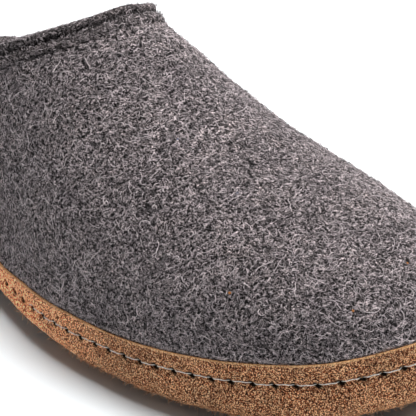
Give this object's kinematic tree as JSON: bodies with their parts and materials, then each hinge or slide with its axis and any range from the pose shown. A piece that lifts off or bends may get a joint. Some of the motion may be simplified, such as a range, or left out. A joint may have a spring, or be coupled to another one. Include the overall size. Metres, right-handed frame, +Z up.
{
  "type": "wool slide slipper",
  "caption": "Open-back wool felt slide for the right foot, with a tan suede edge band over a dark rubber sole",
  "frame": {"origin": "middle of the shoe's bounding box, on the floor under the sole", "axes": "+Y from heel to toe, +X toward the outer side of the right foot, +Z up from the floor"},
  "size_m": [0.0982, 0.28, 0.0774],
  "materials": {
    "sole_rubber": "matt dark rubber",
    "footbed_felt": "dense grey wool felt",
    "suede": "napped tan suede with pale thread",
    "upper_felt": "mottled warm grey wool felt with loose fibres"
  },
  "bodies": {
    "root": {"sole": "sole_rubber", "insole": "footbed_felt", "band": "suede", "upper": "upper_felt", "collar_binding": "upper_felt"}
  },
  "joints": []
}
